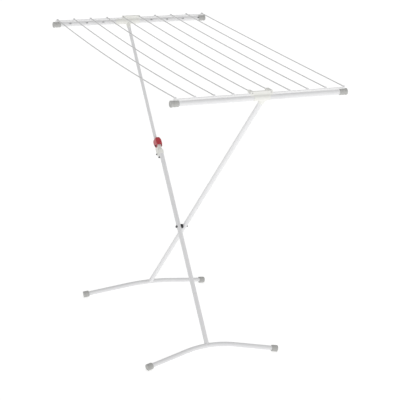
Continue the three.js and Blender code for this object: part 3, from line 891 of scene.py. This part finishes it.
BRACKET_WALL = 1.8
SLAB_HALF = 3.3
BRACKET_TOP = 21.8
SOCKET_WALL = 1.6
SOCKET_LENGTH = 27
GUSSET_LENGTH = 24
GUSSET_HALF = 2.4
ARM_LOW = 12
LINE_HOLE_RADIUS = 2.6
LINE_HOLE_DROP = 0.4


def bracket_shapes(sleeve, slab, leg_x, leg_radius, lean):
    """The sleeve, the slab over the fin, the leg's socket and the front one's gusset."""
    down = Vector((0, lean * LEAN_SIN, -LEAN_COS))
    out = Vector((0, LEAN_COS, lean * LEAN_SIN))

    def on_leg(distance):
        return down * distance + Vector((leg_x, 0, 0))

    def beside_leg(u, v, w):
        return down * v + X * u + out * w

    shapes = [
        bar(RAIL_RADIUS + BRACKET_WALL, (sleeve[0], 0, 0), (sleeve[1], 0, 0), 64),
        block((slab[0], -SLAB_HALF, 0), (slab[1], SLAB_HALF, BRACKET_TOP)),
        bar(leg_radius + SOCKET_WALL, on_leg(0), on_leg(SOCKET_LENGTH), 48),
    ]
    if lean > 0:
        side = leg_x + leg_radius
        end = sleeve[1] - 0.6
        gusset = [(leg_x, 0), (leg_x, GUSSET_LENGTH), (side, GUSSET_LENGTH), (end, RAIL_RADIUS), (end, 0)]
        shapes.append(prism(gusset, beside_leg, -GUSSET_HALF, GUSSET_HALF))
    return shapes, bar(leg_radius + 0.1, on_leg(LEG_SETBACK), on_leg(60), 48)


def make_bracket(name, place, body, sleeve, slab, leg_x, leg_radius, lean, arms=()):
    """A moulding on the rail; arms are (left, right, reach) towards the other rail."""
    shapes, bore = bracket_shapes(sleeve, slab, leg_x, leg_radius, lean)
    for left, right, reach in arms:
        tip = [(reach, ARM_LOW + 0.6), (reach, BRACKET_TOP - 0.4)]
        outline = filleted([(0, ARM_LOW), *tip, (0, BRACKET_TOP)], 3)
        shapes.append(prism(outline, across_x, left, right))
    bracket = fused(f"{name}_moulding", shapes, place, 0.6, 5)
    rail_hole = prism(rail_outline(), across_x, slab[0] - 30, slab[1] + 30)
    cut(bracket, [rail_hole, bore], place)
    height = LINE_HEIGHT - LINE_HOLE_DROP
    holes = [bar(LINE_HOLE_RADIUS, (x, -46, height), (x, 46, height), 24) for x in line_places()]
    cut(bracket, holes, place)
    finish_piece(bracket, body, "white_plastic", [name])


line_left, line_right = line_places()[4:6]
FRONT_SLEEVE = (-25, 31)
FRONT_SLAB = (-35, 40)
BACK_SLEEVE = (-60, 33)
BACK_SLAB = (-34, 35)
FRONT_ARMS = ((line_left - 4.5, line_left + 4.5, 25), (line_right - 4.5, line_right + 6.5, 32))
make_bracket(
    "front_bracket", FRONT_RAIL, "frame_a", FRONT_SLEEVE, FRONT_SLAB, FIXED_X, LEG_RADIUS, 1, FRONT_ARMS
)
make_bracket("back_bracket", BACK_RAIL, "sliding_frame", BACK_SLEEVE, BACK_SLAB, SLIDING_X, INNER_RADIUS, -1)

# ------------------------------------------------------------------ floor and light

FLOOR_HALF = 40
FLOOR_GLOW = 0.44
SKY_AXIS = (0.12, 0.05, -0.99)  # towards the brightest side
SKY_DIM = 0.62
SKY_BRIGHT = 1.0
SKY_SEEN = 1.3  # strength where the camera looks straight at it


def make_floor():
    half = FLOOR_HALF
    corners = [(-half, -half, 0), (half, -half, 0), (half, half, 0), (-half, half, 0)]
    floor = new_object("floor", corners, [(0, 1, 2, 3)])
    look = Nodes("floor_white")
    tone = look.ramp(look.noise(0.4, 2.0), 0.3, 0.7, 0.0, 1.0)
    look.link(look.mix(tone, (0.95, 0.95, 0.95), (0.94, 0.94, 0.94)), "Base Color")
    look.set("Roughness", 0.08)
    look.set("Specular IOR Level", 0.3)
    look.set("Emission Color", (1, 1, 1, 1))
    look.set("Emission Strength", FLOOR_GLOW)
    floor.data.materials.append(look.material)


def make_sky():
    """An even white surround, a little dimmer to the left and overhead."""
    world = bpy.data.worlds.new("studio")
    bpy.context.scene.world = world
    world.use_nodes = True
    tree = world.node_tree
    tree.nodes.clear()
    output = tree.nodes.new("ShaderNodeOutputWorld")
    background = tree.nodes.new("ShaderNodeBackground")
    coordinates = tree.nodes.new("ShaderNodeTexCoord")
    slope = tree.nodes.new("ShaderNodeVectorMath")
    slope.operation = "DOT_PRODUCT"
    slope.inputs[1].default_value = SKY_AXIS
    strength = tree.nodes.new("ShaderNodeMapRange")
    strength.inputs["From Min"].default_value = -1
    strength.inputs["From Max"].default_value = 0.12
    strength.inputs["To Min"].default_value = SKY_DIM
    strength.inputs["To Max"].default_value = SKY_BRIGHT
    path = tree.nodes.new("ShaderNodeLightPath")
    choose = tree.nodes.new("ShaderNodeMix")
    choose.data_type = "FLOAT"
    choose.inputs["B"].default_value = SKY_SEEN
    tree.links.new(coordinates.outputs["Generated"], slope.inputs[0])
    tree.links.new(slope.outputs["Value"], strength.inputs["Value"])
    tree.links.new(path.outputs["Is Camera Ray"], choose.inputs["Factor"])
    tree.links.new(strength.outputs["Result"], choose.inputs["A"])
    tree.links.new(choose.outputs["Result"], background.inputs["Strength"])
    tree.links.new(background.outputs["Background"], output.inputs["Surface"])


def softbox(name, place, target, size, power):
    data = bpy.data.lights.new(name, "AREA")
    data.shape = "SQUARE"
    data.size = size
    data.energy = power
    light = bpy.data.objects.new(name, data)
    light.location = place
    light.rotation_euler = (Vector(target) - Vector(place)).to_track_quat("-Z", "Y").to_euler()
    bpy.context.scene.collection.objects.link(light)


make_floor()
make_sky()
softbox("softbox_right", (3.5, -2.0, 2.6), (0, 0, 0.6), 2.5, 10)
softbox("softbox_front", (-1.2, -5.2, 1.3), (0, 0, 0.7), 2.5, 40)
bpy.context.scene.view_settings.view_transform = "Standard"
